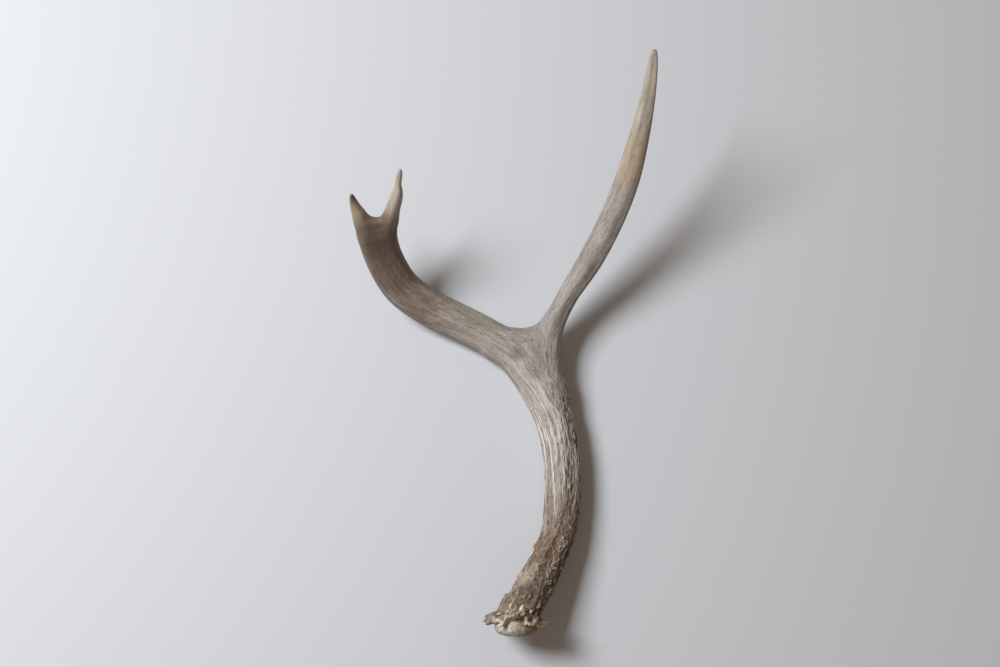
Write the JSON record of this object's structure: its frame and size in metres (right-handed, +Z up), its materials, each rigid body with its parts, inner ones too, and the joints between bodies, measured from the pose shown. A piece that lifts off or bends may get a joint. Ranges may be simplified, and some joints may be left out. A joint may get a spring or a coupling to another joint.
{
  "type": "deer antler",
  "caption": "Shed deer antler lying on its back: a pearled beam with burr and seal that forks into a front branch with two small tines and a long rear tine.",
  "frame": {"origin": "middle of the underside of the box round the antler as it lies on its back", "axes": "+Z up from the surface it lies on, +Y from the burr towards the tine tips, +X towards the rear tine"},
  "size_m": [0.223, 0.4224, 0.1382],
  "materials": {
    "beam_bone": "dry weathered antler, brown and pearled near the burr, beige with dark lengthwise grooves above",
    "branch_bone": "dry weathered antler, grey brown with fine lengthwise grooves",
    "rear_tine_bone": "antler rubbed smooth and ivory towards the tip",
    "small_tine_bone": "antler rubbed smooth and tan on the small tines"
  },
  "bodies": {
    "root": {"main_beam": "beam_bone", "front_branch": "branch_bone", "rear_tine": "rear_tine_bone", "front_tine_outer": "small_tine_bone", "front_tine_inner": "small_tine_bone"}
  },
  "joints": []
}
